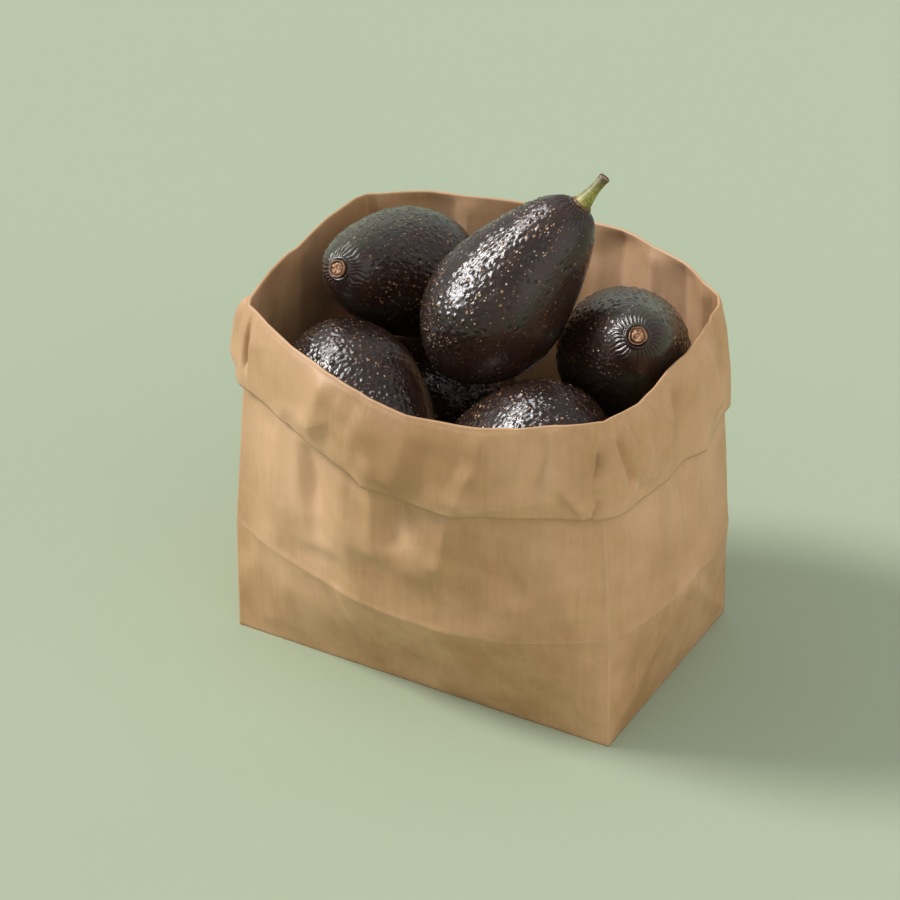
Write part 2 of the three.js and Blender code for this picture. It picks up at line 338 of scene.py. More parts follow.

# %% [markdown]
# ## Avocado skin
# Ripe skin is nearly black, with a purple or brown cast, greyer and greener where it ripened last.
# Painted light is mixed into its colour too: a greener painted rim light on one side, a slate-grey
# painted reflection on its smoothest side, and painted shade in the grooves, dents and stem's seat.
# It is waxy, so a thin glossy coat lies over it, and it has small corky specks, longer along the
# fruit. Large patches come from a number that the mesh carries; specks and grain are textures laid
# on the fruit's own axes, so that they follow it however it lies.

# %% Skin finish
DARK_SKIN = (0.011, 0.0060, 0.0050)
PLUM_SKIN = (0.036, 0.0178, 0.0120)
SLATE_SKIN = (0.034, 0.0325, 0.027)
OLIVE_SKIN = (0.075, 0.085, 0.038)
# The colour of the painted shade in the skin's hollows.
HOLLOW_SHADE_COLOR = (0.006, 0.0045, 0.0045, 1)
MOTTLE_DARK = (0.55, 0.55, 0.55)
MOTTLE_LIGHT = (1.45, 1.4, 1.35)
SPECK_DARK = (0.30, 0.10, 0.035)
SPECK = (0.50, 0.25, 0.085)
SPECK_PALE = (0.70, 0.50, 0.32)


def specks(material, place, scale, reach, share):
    """Round spots in a share of a scattered pattern's cells, each with its own radius.

    A cell's random green sets its spot's radius, from 0.55 to 1.15 times reach, and its random red
    says whether it has a spot at all.
    """
    cells = add_node(material, "TexVoronoi", Vector=place, Scale=scale, Randomness=1.0)
    channels = add_node(material, "SeparateColor", Color=cells.outputs["Color"]).outputs
    edge = arithmetic(material, "MULTIPLY_ADD", channels["Green"], reach * 0.6, reach * 0.55)
    inside = arithmetic(material, "SUBTRACT", edge, cells.outputs["Distance"])
    spot = spread(material, inside, -0.02, 0.05)
    chosen = arithmetic(material, "LESS_THAN", channels["Red"], share)
    return arithmetic(material, "MULTIPLY", spot, chosen)


def skin_finish():
    """Dark waxy skin with corky specks, and painted shade in its hollows."""
    material, shader = new_material("avocado_skin")
    place = attribute(material, "skin_place", "Vector")
    ripeness_and_painted_light = attribute(material, "ripeness_and_painted_light")
    hollow_shade = attribute(material, "hollow_shade")
    patches = noise(material, place, 0.09, 4.0)
    # The mesh's number adds a painted rim light and a slate painted reflection to the real greener
    # patches.
    shade = arithmetic(material, "MULTIPLY_ADD", patches, 0.5, ripeness_and_painted_light)
    skin = ramp(material, shade, [
        (0.15, DARK_SKIN), (0.42, PLUM_SKIN), (0.62, SLATE_SKIN), (1.0, OLIVE_SKIN)])
    grain = noise(material, place, 2.2, 5.0, 0.65)
    mottle = ramp(material, grain, [(0.3, MOTTLE_DARK), (0.72, MOTTLE_LIGHT)])
    skin = mix_colors(material, 1.0, skin, mottle, "MULTIPLY")
    # Painted shade: the grooves, the dents and the stem's seat are darkened towards near black.
    skin = mix_colors(material, hollow_shade, skin, HOLLOW_SHADE_COLOR)
    long_place = stretched(material, place, (1.0, 1.0, 0.75))
    crowded = spread(material, noise(material, place, 0.05, 2.0), 0.36, 0.52)
    large_share = arithmetic(material, "MULTIPLY_ADD", crowded, 0.4, 0.35)
    small_share = arithmetic(material, "MULTIPLY", crowded, 0.85)
    large = specks(material, long_place, 0.36, 0.20, large_share)
    small = specks(material, long_place, 0.6, 0.21, small_share)
    dot = arithmetic(material, "MAXIMUM", large, small)
    dot = arithmetic(material, "MULTIPLY", dot, attribute(material, "dotted"))
    tint = noise(material, place, 0.7, 2.0)
    warm = ramp(material, tint, [(0.35, SPECK_DARK), (0.5, SPECK), (0.6, SPECK_PALE)])
    skin = mix_colors(material, dot, skin, warm)
    connect(material, skin, shader.inputs["Base Color"])
    shader.inputs["Roughness"].default_value = 0.48
    shader.inputs["Specular IOR Level"].default_value = 0.1
    shader.inputs["Coat Weight"].default_value = 0.8
    shader.inputs["Coat Roughness"].default_value = 0.15
    shader.inputs["Coat IOR"].default_value = 1.45
    fine = bump(material, noise(material, place, 0.9, 3.0, 0.5), 0.22, 0.0005)
    raised = bump(material, dot, 0.6, 0.0003, fine)
    connect(material, raised, shader.inputs["Normal"])
    connect(material, raised, shader.inputs["Coat Normal"])
    return material


SKIN = skin_finish()
print("skin nodes:", len(SKIN.node_tree.nodes))

# %% [markdown]
# ## Where each fruit lies
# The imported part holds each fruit's place. Its axis runs from the middle of the skin to the middle
# of its scar or stem, and its length and girth are read along and across that axis. The outline is
# an ellipse filled out by a cubic: full at the blossom end, drawn in to a neck.

# %% Read the fruit
FULLNESS = (0.954, 0.289, -0.01, -0.257)  # the cubic's terms, constant first
SEAT_RADIUS = 5.2  # the stem's seat, in millimetres
SEAT_DEPTH = 2.2
PROFILE_STEPS = 721


def fullness(share):
    """Radius beside an ellipse's: a cubic of share, 1 at the blossom and -1 at the stem."""
    return np.polynomial.polynomial.polyval(share, FULLNESS)


def node_points(name):
    """A CAD node's points, in millimetres."""
    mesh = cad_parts[name].data
    points = np.empty(len(mesh.vertices) * 3)
    mesh.vertices.foreach_get("co", points)
    return points.reshape(-1, 3) / MM


def read_fruit(name):
    """A fruit's middle, axes (the third towards the stem), half length, radius and seat's angle."""
    scar = "stem_" + name if "stem_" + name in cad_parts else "button_" + name
    skin = node_points("avocado_" + name)
    axis = node_points(scar).mean(0) - skin.mean(0)
    axis /= np.linalg.norm(axis)
    middle = skin.mean(0)
    along = (skin - middle) @ axis
    widest = np.linalg.norm(skin - middle - along[:, None] * axis, axis=1).max()
    angles = np.linspace(0, math.pi, PROFILE_STEPS)
    radius = widest / (np.sin(angles) * fullness(np.cos(angles))).max()
    seat_angle = math.asin(SEAT_RADIUS / (radius * fullness(-1)))
    half = (along.max() - along.min()) / (1 + math.cos(seat_angle))
    centre = middle + axis * (along.min() + half)
    side = np.cross(axis, (0, 0, 1))
    side /= np.linalg.norm(side)
    axes = np.stack([side, np.cross(axis, side), axis])
    return {"name": name, "scar": scar, "centre": centre, "axes": axes, "half": half,
            "radius": radius, "seat_angle": math.pi - seat_angle}


SKINS = [name for name in sorted(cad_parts) if name.startswith("avocado_")]
FRUIT = [read_fruit(name.removeprefix("avocado_")) for name in SKINS]
for fruit in FRUIT:
    length, girth = 2 * fruit["half"], 2 * fruit["radius"]
    print(fruit["name"], "length", round(length, 1), "girth", round(girth, 1))

# %% [markdown]
# ## Avocado shape
# The skin is a turned outline with relief pressed into it: broad unevenness, pebbles a few
# millimetres across, and puckers that run into the stem's seat like spokes. Pressing inwards keeps
# each fruit clear of its neighbours. The fruit on the bottom don't show and get a coarser grid.

# %% Fruit relief
SEEN_GRID = (220, 360)
HIDDEN_GRID = (100, 150)
SEAT_ROWS = 14
# How much painted shade darkens the stem's seat.
SEAT_SHADE = 0.6

# Of one fruit: seed of its noise; size of its pebbles, and how much longer they are along it; how
# proud they stand; which side is smoothest, in degrees, where a slate painted reflection goes too;
# how strong its specks are; how green it is, partly from ripeness and partly painted rim light;
# which side gets that painted rim light most, in degrees.
TRAITS = ("seed", "pebble", "stretch", "height", "smooth", "specks", "green", "turn")
CHARACTER = {
    "top": (3, 2.6, 1.3, 0.30, 28, 1, 0.05, -139),
    "back_left": (11, 2.9, 1.9, 0.30, 70, 0.6, 0.5, -72),
    "back_right": (23, 2.8, 1.8, 0.30, 120, 0.55, 0.42, -92),
    "front_left": (31, 2.4, 1.25, 0.36, -170, 0.7, 0.05, 90),
    "front_right": (43, 2.5, 2.1, 0.34, 20, 0.9, 0.02, 90),
}
PLAIN = (61, 3.0, 1.6, 0.3, 0, 0.5, 0.05, 0)

# How deep each kind of relief is, in millimetres.
LUMP_DEPTH = 0.22
BROAD_DEPTH = 0.45
PUCKER_DEPTH = 0.5
DENT_DEPTH = 0.35
PUCKER_WAVES = 14


def pebbles(place, nature):
    """Low flat-topped pads with narrow grooves: an S-curve of second distance less nearest."""
    size = nature["pebble"]
    scaled = place / (size, size, size * nature["stretch"])
    wander = 0.35 * soft_noise(scaled * 0.7, nature["seed"])[..., None]
    nearest, second = cell_distances(scaled + wander, nature["seed"])
    domed = 0.7 + 0.3 * np.clip(1 - (nearest / 0.8) ** 2, 0, 1)
    return smooth_step(second - nearest, 0, 0.3) * domed


def bumps(place, size, reach, seed):
    """Separate small domes: 1 - (d / reach)^2 round each scattered site, and 0 between them."""
    nearest, _ = cell_distances(place / size, seed)
    return np.clip(1 - (nearest / reach) ** 2, 0, 1)


def puckers(around, from_seat, seed):
    """Spokes round the seat: a wave round the axis whose ridges wander, fading out further off."""
    ring = np.stack([np.cos(around), np.sin(around), from_seat / 9], -1)
    wander = 1.6 * soft_noise(ring * 1.5, seed)
    ridges = np.abs(np.cos(PUCKER_WAVES * around + wander * 2)) ** 0.7
    return ridges * smooth_step(from_seat, 0.5, 3) * smooth_step(-from_seat, -17, -6)


def facing(around, degrees):
    """1 on the side at that compass angle and -1 opposite: the cosine of the angle between."""
    return np.cos(around - math.radians(degrees))


def fruit_surface(fruit, nature, grid):
    """The skin's points in millimetres: profile angle by row, compass angle by column.

    A point is at radius r(t) = R sin t * fullness(cos t) and height -H cos t, moved inwards along
    the outline's own normal by the relief.
    """
    steps, sides = grid
    angle = np.linspace(0.012, fruit["seat_angle"], steps)[:, None]
    around = np.linspace(0, 2 * math.pi, sides, endpoint=False)[None, :]
    radial = fruit["radius"] * np.sin(angle) * fullness(np.cos(angle))
    height = -fruit["half"] * np.cos(angle)
    slope = np.stack([np.gradient(height[:, 0]), -np.gradient(radial[:, 0])], 1)
    slope /= np.linalg.norm(slope, axis=1)[:, None]
    spokes = np.stack([np.cos(around), np.sin(around)], -1)
    tall = np.broadcast_to(height[..., None], (steps, sides, 1))
    place = np.concatenate([radial[..., None] * spokes, tall], -1)
    seed = nature["seed"]
    from_seat = (fruit["seat_angle"] - angle) * (fruit["half"] + fruit["radius"]) / 2
    from_seat = np.broadcast_to(from_seat, (steps, sides))
    rough = smooth_step(from_seat, 7, 24)

    dome = pebbles(place, nature)
    smooth_side = facing(around, nature["smooth"]) + 0 * height
    calm = smooth_step(smooth_side + 0.25 * soft_noise(place / 16, seed + 13), 0.45, 0.8)
    padded = smooth_step(soft_noise(place / 20, seed + 15), -0.2, 0.3)
    proud = bumps(place, 3.5, 0.43, seed + 25) + 0.6 * bumps(place, 2.3, 0.36, seed + 26)
    dents = bumps(place / (1, 1, 2.2), 3.0, 0.28, seed + 27)
    bumpy = nature["height"] * rough * (1 - calm)
    relief = bumpy * ((0.2 + 0.45 * padded) * (dome - 1) + 1.5 * (np.minimum(proud, 1) - 1))
    relief = relief - (nature["height"] * 1.6 + DENT_DEPTH * dents) * rough * calm
    lumps = soft_noise(place / (9, 9, 15), seed + 5)
    broad = soft_noise(place / 34, seed + 9)
    relief = relief + LUMP_DEPTH * rough * (lumps - 1) + BROAD_DEPTH * (broad - 1)
    wrinkle = puckers(np.broadcast_to(around, (steps, sides)), from_seat, seed + 17)
    relief = relief + PUCKER_DEPTH * (wrinkle - 1) * smooth_step(-from_seat, -20, -7)
    relief = relief * smooth_step(from_seat, 0, 2.5)
    moved_radial = radial + relief * slope[:, :1]
    moved_height = height + relief * slope[:, 1:]
    body = np.concatenate([moved_radial[..., None] * spokes, moved_height[..., None]], -1)

    # Greener colour: real on the cloud patches and a little all round; painted rim light on the side
    # at the turn angle, and a slate painted reflection on the smooth side.
    green = nature["green"] * (0.2 + 0.8 * smooth_step(facing(around, nature["turn"]), 0.3, 1.0))
    cloud = soft_noise(place / (17, 17, 26), seed + 21)
    green = green + 0.16 * smooth_step(cloud, 0.0, 0.45) + 0.15 * calm * rough
    # Painted shade: darker in the grooves between pebbles and in the dents on the smooth side.
    grooves = 0.45 * (1 - calm) * smooth_step(-dome, -0.3, 0.05)
    hollow_shading = rough * (grooves + 0.8 * calm * dents)
    between_ends = smooth_step(from_seat, 9, 20) * smooth_step(angle + 0 * around, 0.15, 0.6)
    dotted = between_ends * (1 - 0.75 * calm) * nature["specks"]
    return body, place, green, hollow_shading, dotted


def seat_rows(body):
    """The seat: from the skin's last ring, in and down a quarter of a circle to a flat floor."""
    share = np.linspace(0, 1, SEAT_ROWS + 1)[1:, None, None]
    ring = body[-1]
    turn = np.minimum(share * 1.6, 1) * math.pi / 2
    across_floor = np.clip(share - 0.625, 0, 1) / 0.375
    inward = 1 - 0.36 * np.sin(turn) - across_floor * 0.6
    down = SEAT_DEPTH * (1 - np.cos(turn))
    flat = ring[None, :, :2] * inward
    return np.concatenate([flat, ring[None, :, 2:] - down], -1)


def make_fruit(fruit):
    """One whole skin, laid along the fruit's axes and standing for its CAD node."""
    name = fruit["name"]
    nature = dict(zip(TRAITS, CHARACTER.get(name, PLAIN)))
    grid = HIDDEN_GRID if name.startswith("bottom") else SEEN_GRID
    body, place, green, hollow_shading, dotted = fruit_surface(fruit, nature, grid)
    seat = seat_rows(body)
    rows = np.concatenate([body, seat])
    extra = (SEAT_ROWS, grid[1])
    attributes = {
        "skin_place": np.concatenate([place, seat]) + 40 * nature["seed"],
        # Colour numbers: real ripeness with painted rim light and reflection, and painted shade in
        # the hollows and the seat.
        "ripeness_and_painted_light": np.concatenate([green, np.broadcast_to(green[-1], extra)]),
        "hollow_shade": np.concatenate([hollow_shading, np.full(extra, SEAT_SHADE)]),
        "dotted": np.concatenate([dotted, np.zeros(extra)]),
    }
    world_rows = (fruit["centre"] + rows @ fruit["axes"]) * MM
    piece = close_rows("skin_" + name, world_rows, SKIN, attributes)
    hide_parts("avocado_" + name)
    return piece


for fruit in FRUIT:
    piece = make_fruit(fruit)
    print(piece.name, len(piece.data.polygons), "faces")

# %% [markdown]
# ## Woody scars
# Where a stem snapped off, a corky disc is left in the seat: a thin raised lip, a groove, and a
# knobbly core the colour of copper. A grid of rings covers it from the foot, up the side, over the
# lip and in to the middle, and the core's knobs are cell noise.

# %% Wood finish
SCAR_RADIUS = 4.1
SCAR_SIDES = 72
SCAR_SIDE_ROWS = 12
SCAR_TOP_ROWS = 34


def wood_finish():
    """Corky wood, with painted light and shade: lighter on the knobs, darker in the grooves."""
    material, shader = new_material("woody_scar")
    place = add_node(material, "TexCoord").outputs["Object"]
    grain = noise(material, place, 1400.0, 4.0, 0.6)
    # Painted light and shade: the proud number, high on the lip and knobs and low in the groove,
    # lightens or darkens the wood.
    light = arithmetic(material, "MULTIPLY_ADD", grain, 0.35, attribute(material, "proud"))
    color = ramp(material, light, [
        (0.15, (0.035, 0.014, 0.008)), (0.5, (0.20, 0.085, 0.035)),
        (0.85, (0.46, 0.235, 0.105)), (1.1, (0.62, 0.38, 0.20))])
    connect(material, color, shader.inputs["Base Color"])
    shader.inputs["Roughness"].default_value = 0.62
    connect(material, bump(material, grain, 0.5, 0.0003), shader.inputs["Normal"])
    return material


WOOD = wood_finish()


def ring_of_places(around, height):
    """Points on the unit circle at each compass angle and height, to read noise at."""
    flat = np.cos(around) + 0 * height, np.sin(around) + 0 * height
    return np.stack([*flat, height + 0 * around], -1)


def scar_surface(seed):
    """A scar's points in millimetres over its seat's mouth, rings along the rows.

    Side: radius nearly constant while the height rises. Top: the radius shrinks to the middle while
    the height is a lip near the rim, a groove inside it and a domed core with knobs.
    """
    around = np.linspace(0, 2 * math.pi, SCAR_SIDES, endpoint=False)[None, :]
    side_share = np.linspace(0, 1, SCAR_SIDE_ROWS)[:, None]
    wobble = 1 + 0.09 * soft_noise(ring_of_places(around, 0 * around) * 2.2, seed)
    side_radius = SCAR_RADIUS * (0.78 + 0.22 * side_share ** 0.6) * wobble
    side_height = -SEAT_DEPTH + 0.35 + (SEAT_DEPTH + 0.8) * side_share + 0 * around
    inwards = np.linspace(0, 1, SCAR_TOP_ROWS)[1:, None]
    top_radius = SCAR_RADIUS * (1 - inwards * 0.985) * wobble
    share = 1 - inwards
    broken = smooth_step(soft_noise(ring_of_places(around, 0 * share) * 1.6, seed + 5), -0.35, 0.25)
    lip = (0.15 + 0.45 * broken) * np.exp(-((share - 0.9) / 0.07) ** 2)
    open_side = 0.25 + 0.75 * smooth_step(np.cos(around - seed), -0.5, 0.8)
    groove = -0.9 * open_side * np.exp(-((share - 0.76) / 0.07) ** 2)
    flat = np.stack([top_radius * np.cos(around), top_radius * np.sin(around), 0 * top_radius], -1)
    nearest, _ = cell_distances(flat / 1.5, seed)
    core = smooth_step(-share, -0.78, -0.55)
    knobs = 0.75 * np.clip(1 - nearest ** 2 * 1.6, 0, 1) + 0.35 * soft_noise(flat / 0.7, seed + 3)
    knobs = core * knobs
    top_height = 0.85 + lip + groove + core * 0.25 + knobs
    radius = np.concatenate([side_radius, top_radius])
    height = np.concatenate([side_height, top_height])
    # Painted light and shade by height: lighter where the scar stands proud, darker in the groove
    # and down its sides.
    top_light_and_shade = 0.32 + 0.55 * lip + 0.38 * groove + 0.62 * knobs
    proud = np.concatenate([0.45 + 0 * side_height, top_light_and_shade])
    return np.stack([radius * np.cos(around), radius * np.sin(around), height], -1), proud


def on_seat(fruit, points):
    """Points in metres, moved from the origin to the fruit's axis at the mouth of its seat."""
    mouth = -fruit["half"] * math.cos(fruit["seat_angle"])
    return (fruit["centre"] + (points + (0, 0, mouth)) @ fruit["axes"]) * MM


def make_scar(fruit, seed):
    """One scar, seated on its fruit."""
    points, proud = scar_surface(seed)
    rows = on_seat(fruit, points)
    piece = close_rows("scar_" + fruit["name"], rows, WOOD, {"proud": proud})
    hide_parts(fruit["scar"])
    return piece


FIRST_SCAR_SEED = 100
for number, fruit in enumerate(FRUIT):
    if fruit["scar"].startswith("button_"):
        piece = make_scar(fruit, FIRST_SCAR_SEED + number)
        print(piece.name, len(piece.data.polygons), "faces")

# %% [markdown]
# ## The green stem
# The top fruit keeps a short cut stem: a knobbly brown collar, a flared green foot, a thinner neck
# and a slightly wider cut end. It is one grid of rings along a gently bent line, and its colour
# follows a number that runs from foot to tip.

# %% Stem
STEM_OUTLINE = (  # height and radius in millimetres, foot first
    (-1.9, 3.3), (-0.6, 4.3), (0.1, 4.7), (0.8, 4.6), (1.15, 3.9), (1.5, 4.0),
    (2.6, 3.8), (4.6, 3.3), (7.0, 2.85), (9.5, 2.55), (12.0, 2.4), (14.4, 2.45),
    (15.9, 2.6), (16.5, 2.55), (16.6, 2.3), (16.2, 1.7), (16.3, 0.4))
STEM_LENGTH = 16.5
STEM_BEND = 0.6
STEM_ROWS = 90
STEM_SIDES = 64


def stem_finish():
    """Green bark, yellower at the foot, brown at the collar, the scratches and the cut end."""
    material, shader = new_material("green_stem")
    place = add_node(material, "TexCoord").outputs["Object"]
    blotch = noise(material, place, 420.0, 5.0, 0.65)
    along = attribute(material, "along")
    green = ramp(material, along, [
        (0.10, (0.16, 0.075, 0.03)), (0.17, (0.20, 0.11, 0.035)), (0.2, (0.34, 0.34, 0.07)),
        (0.45, (0.25, 0.27, 0.055)), (0.7, (0.20, 0.18, 0.05)), (0.93, (0.13, 0.075, 0.035)),
        (0.985, (0.45, 0.30, 0.22))])
    brown = ramp(material, blotch, [(0.35, (0.35, 0.28, 0.2)), (0.6, (1.25, 1.2, 1.1))])
    bark = mix_colors(material, 1.0, green, brown, "MULTIPLY")
    connect(material, bark, shader.inputs["Base Color"])
    shader.inputs["Roughness"].default_value = 0.5
    connect(material, bump(material, blotch, 0.5, 0.0005), shader.inputs["Normal"])
    return material


def stem_surface():
    """Rings with the outline's radii, knobbly at the collar, moved sideways by height squared."""
    heights, radii = np.array(STEM_OUTLINE).T
    path = np.concatenate([[0], np.cumsum(np.hypot(np.diff(heights), np.diff(radii)))])
    steps = np.linspace(0, path[-1], STEM_ROWS)
    height = np.interp(steps, path, heights)[:, None]
    around = np.linspace(0, 2 * math.pi, STEM_SIDES, endpoint=False)[None, :]
    radius = np.interp(steps, path, radii)[:, None]
    ring = ring_of_places(around, height / 3)
    collar = smooth_step(-height, -2.4, -1.0)
    knobs = 0.3 * collar * soft_noise(ring * 3.2, 7) + 0.12 * soft_noise(ring * (2.2, 2.2, 0.6), 8)
    radius = radius + knobs * smooth_step(radius, 0.3, 1.5)
    bend = STEM_BEND * (np.clip(height, 0, None) / STEM_LENGTH) ** 2
    x, y = radius * np.cos(around) + bend, radius * np.sin(around)
    points = np.stack([x, y, height + 0 * around], -1)
    return points, np.broadcast_to((steps / path[-1])[:, None], points.shape[:2])


for fruit in FRUIT:
    if fruit["scar"].startswith("stem_"):
        points, share = stem_surface()
        rows = on_seat(fruit, points)
        stem = close_rows("stem", rows, stem_finish(), {"along": share})
        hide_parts(fruit["scar"])
        print("stem", len(stem.data.polygons), "faces")

# %% [markdown]
# ## Kraft paper
# Brown unbleached paper is matt, with faint streaks along the web that it was rolled from, cloudy
# blotches, and pale scuffed lines where it was creased. The mesh carries a number on each crease,
# and the finish lightens the paper there. A second number paints broad light and shade onto it.

# %% Kraft finish
KRAFT_LIGHT = (0.68, 0.42, 0.24)
KRAFT_MIDDLE = (0.565, 0.335, 0.17)
KRAFT_DARK = (0.42, 0.232, 0.098)
SCUFFED = (0.62, 0.45, 0.29, 1)


def kraft_finish():
    """Matt brown paper with streaks, blotches, scuffed creases and painted light and shade."""
    material, shader = new_material("kraft_paper")
    place = add_node(material, "TexCoord").outputs["Object"]
    streaks = noise(material, stretched(material, place, (1.0, 1.0, 0.07)), 420.0, 4.0, 0.6)
    clouds = noise(material, place, 30.0, 5.0, 0.55)
    mixed = arithmetic(material, "MULTIPLY", clouds, 0.8)
    mixed = arithmetic(material, "MULTIPLY_ADD", streaks, 0.2, mixed)
    # Painted light and shade: broad patches lighten or darken the paper.
    mixed = arithmetic(material, "MULTIPLY_ADD", attribute(material, "painted_light_and_shade"), 0.3, mixed)
    paper = ramp(material, mixed, [(0.26, KRAFT_DARK), (0.5, KRAFT_MIDDLE), (0.74, KRAFT_LIGHT)])
    scuff = spread(material, attribute(material, "crease"), 0.35, 1.0)
    paper = mix_colors(material, arithmetic(material, "MULTIPLY", scuff, 0.35), paper, SCUFFED)
    connect(material, paper, shader.inputs["Base Color"])
    shader.inputs["Roughness"].default_value = 0.58
    shader.inputs["Specular IOR Level"].default_value = 0.4
    fibres = noise(material, stretched(material, place, (1.0, 1.0, 0.25)), 1500.0, 3.0, 0.6)
    soft = bump(material, clouds, 0.18, 0.002)
    connect(material, bump(material, fibres, 0.22, 0.0003, soft), shader.inputs["Normal"])
    return material


KRAFT = kraft_finish()
print("kraft nodes:", len(KRAFT.node_tree.nodes))

# %% [markdown]
# ## The paper bag's sheet
# The bag is one sheet: flat across the bottom, up the four walls, out over the fold and down the
# outside as the cuff. Its middle surface is a function of two parameters, round the bag and along
# the paper. Paper doesn't stretch, so a wall that leans out reaches less high.

# %% Bag sizes
# In millimetres. Four values in a row belong to the corners: front left, front right, back right,
# back left.
BAG_HALF_WIDTH = 97.5
BAG_HALF_DEPTH = 60.7
PAPER = 0.45
CREASE_UP = 57.0
CUFF_COVERS_FROM = 124.0
FOLD_HEIGHT = 168.0
FOLD_RADIUS = 0.6
CUFF_AT_CORNERS = (37.5, 46.0, 50.0, 44.0)
RIM_LIFT = (2.0, 0.0, 4.5, 5.0)  # how much higher the rim stands at the corners
BACK_LIFT = 2.0  # and how much more in the middle of the back

# Each level, by length of paper above the bottom edge: how far each corner has moved from the
# bottom's own corner, and each panel's belly (front, right, back, left).
LEVELS = [
    {"up": 0, "corners": ((0, 0), (0, 0), (0, 0), (0, 0)), "bellies": (0, 0, 0, 0)},
    {"up": CREASE_UP, "corners": ((-0.8, 2.2), (-1.6, 1.2), (-1.2, -1), (1, -1)),
     "bellies": (25, 9.5, 18, 9)},
    {"up": 122, "corners": ((1.6, 8), (-6.5, 2.2), (-5, -3), (2, -2)),
     "bellies": (30, 7, 26, 7.5)},
    {"up": FOLD_HEIGHT, "corners": ((5.4, 10.5), (-8.2, 2), (-8.5, -6), (1.5, -1)),
     "bellies": (33, 6.5, 33, 6)},
]
BELLY_POWER = np.array([2.0, 3.0, 2.0, 3.0])
BELLY_SKEW = np.array([0.13, 0.0, 0.0, 0.0])  # how far a belly's peak is off the middle
PANEL_COLUMNS = (124, 74, 124, 74)

panel = np.repeat(np.arange(4), PANEL_COLUMNS)
even = np.concatenate([np.linspace(-1, 1, n, endpoint=False) for n in PANEL_COLUMNS])
across_share = 0.5 * even + 0.5 * np.sin(even * math.pi / 2)  # closer at the corners
half_span = np.where(panel % 2 == 0, BAG_HALF_WIDTH, BAG_HALF_DEPTH)
across = across_share * half_span
print("columns:", len(panel))

# %% Wall


def level_values(up, key):
    """A level's numbers at each length of paper, blended in straight lines between levels."""
    stops = np.array([level["up"] for level in LEVELS], float)
    table = np.array([level[key] for level in LEVELS], float).reshape(len(LEVELS), -1)
    return np.stack([np.interp(up, stops, column) for column in table.T], -1)


def wall_outline(up):
    """Plan points of the wall and its outward directions, by row and column.

    A panel is the straight line between its corners plus a belly, which is 1 - |s|^p across it.
    """
    signs = np.array([(-1, -1), (1, -1), (1, 1), (-1, 1)])
    start_corners = signs * (BAG_HALF_WIDTH, BAG_HALF_DEPTH)
    corners = start_corners + level_values(up, "corners").reshape(-1, 4, 2)
    bellies = level_values(up, "bellies")[:, panel]
    start, end = corners[:, panel], corners[:, (panel + 1) % 4]
    share = (across_share + 1) / 2
    skewed = across_share - BELLY_SKEW[panel] * (1 - across_share ** 2)
    shape = 1 - np.abs(skewed) ** BELLY_POWER[panel]
    span = end - start
    outward = np.stack([span[..., 1], -span[..., 0]], -1)
    outward /= np.linalg.norm(outward, axis=-1)[..., None]
    plan = start + span * share[None, :, None] + outward * (bellies * shape)[..., None]
    return plan, outward


# %% [markdown]
# ## Creases and dents
# A used bag remembers how it was folded: a level crease all round, a fold up the middle of each
# gusset, slanting folds where the bottom was squared, and dents where fruit presses or a hand has
# held it. Each straight fold is a low tent along a line, and each dent a smooth hollow.

# %% Folds by panel
FRONT, RIGHT, BACK, LEFT = range(4)

# A fold: start across and up, end across and up, height of its tent (below 0 is pressed in), and
# its reach either side. The first in each panel is the level crease.
FOLDS = {
    FRONT: [(-97, 57, 97, 57, 0.3, 2.4), (-57, 130, -46, 70, 2.2, 18),
        (-47, 124, -38, 80, -1.6, 9), (-24, 120, -32, 74, 1.4, 14), (-6, 128, -9, 84, 2.6, 13),
        (6, 124, 2, 94, -2.8, 10), (36, 124, 28, 88, 3.4, 8), (48, 124, 62, 78, -2.6, 14),
        (-76, 118, -66, 62, 1.4, 12), (76, 120, 84, 66, 1.8, 12), (-30, 57, -22, 34, 1.5, 9),
        (20, 57, 44, 10, 1.2, 14), (-34, 168, -41, 138, 1.8, 9), (-12, 168, -20, 148, -1.4, 7),
        (54, 168, 48, 140, 1.4, 8), (80, 168, 72, 136, -2.0, 8)],
    RIGHT: [(-60, 57, 60, 57, 0.3, 2.4), (-6, 57, -8, 168, -2.4, 15), (-9, 122, 0, 57, 2.2, 6),
        (0, 57, 58, 3, 2.0, 7), (40, 20, 58, 30, -1.6, 6), (-1, 57, -58, 3, 1.0, 9),
        (-40, 168, -34, 130, 1.6, 8), (26, 168, 34, 128, 1.6, 9), (44, 168, 40, 138, -1.6, 6)],
    BACK: [(-97, 57, 97, 57, 0.3, 2.4), (92, 168, 92, 118, -1.8, 7), (73, 168, 72, 98, 5.0, 17),
        (52, 168, 52, 98, -2.8, 9), (26, 168, 24, 110, 2.2, 12), (2, 168, 4, 110, -2.0, 11),
        (-28, 168, -29, 96, 4.0, 13), (-50, 168, -52, 92, -3.4, 10),
        (-70, 168, -69, 104, 3.2, 10), (-86, 168, -84, 120, -2.4, 7)],
    LEFT: [(-60, 57, 60, 57, 0.3, 2.4), (3, 57, 0, 168, -2.2, 16), (0, 57, 58, 3, 1.1, 7),
        (0, 57, -58, 3, 1.1, 7)],
}
CRISP_REACH = 7.5  # a fold that reaches less far is also scuffed
SCUFF_WIDTH = 1.1
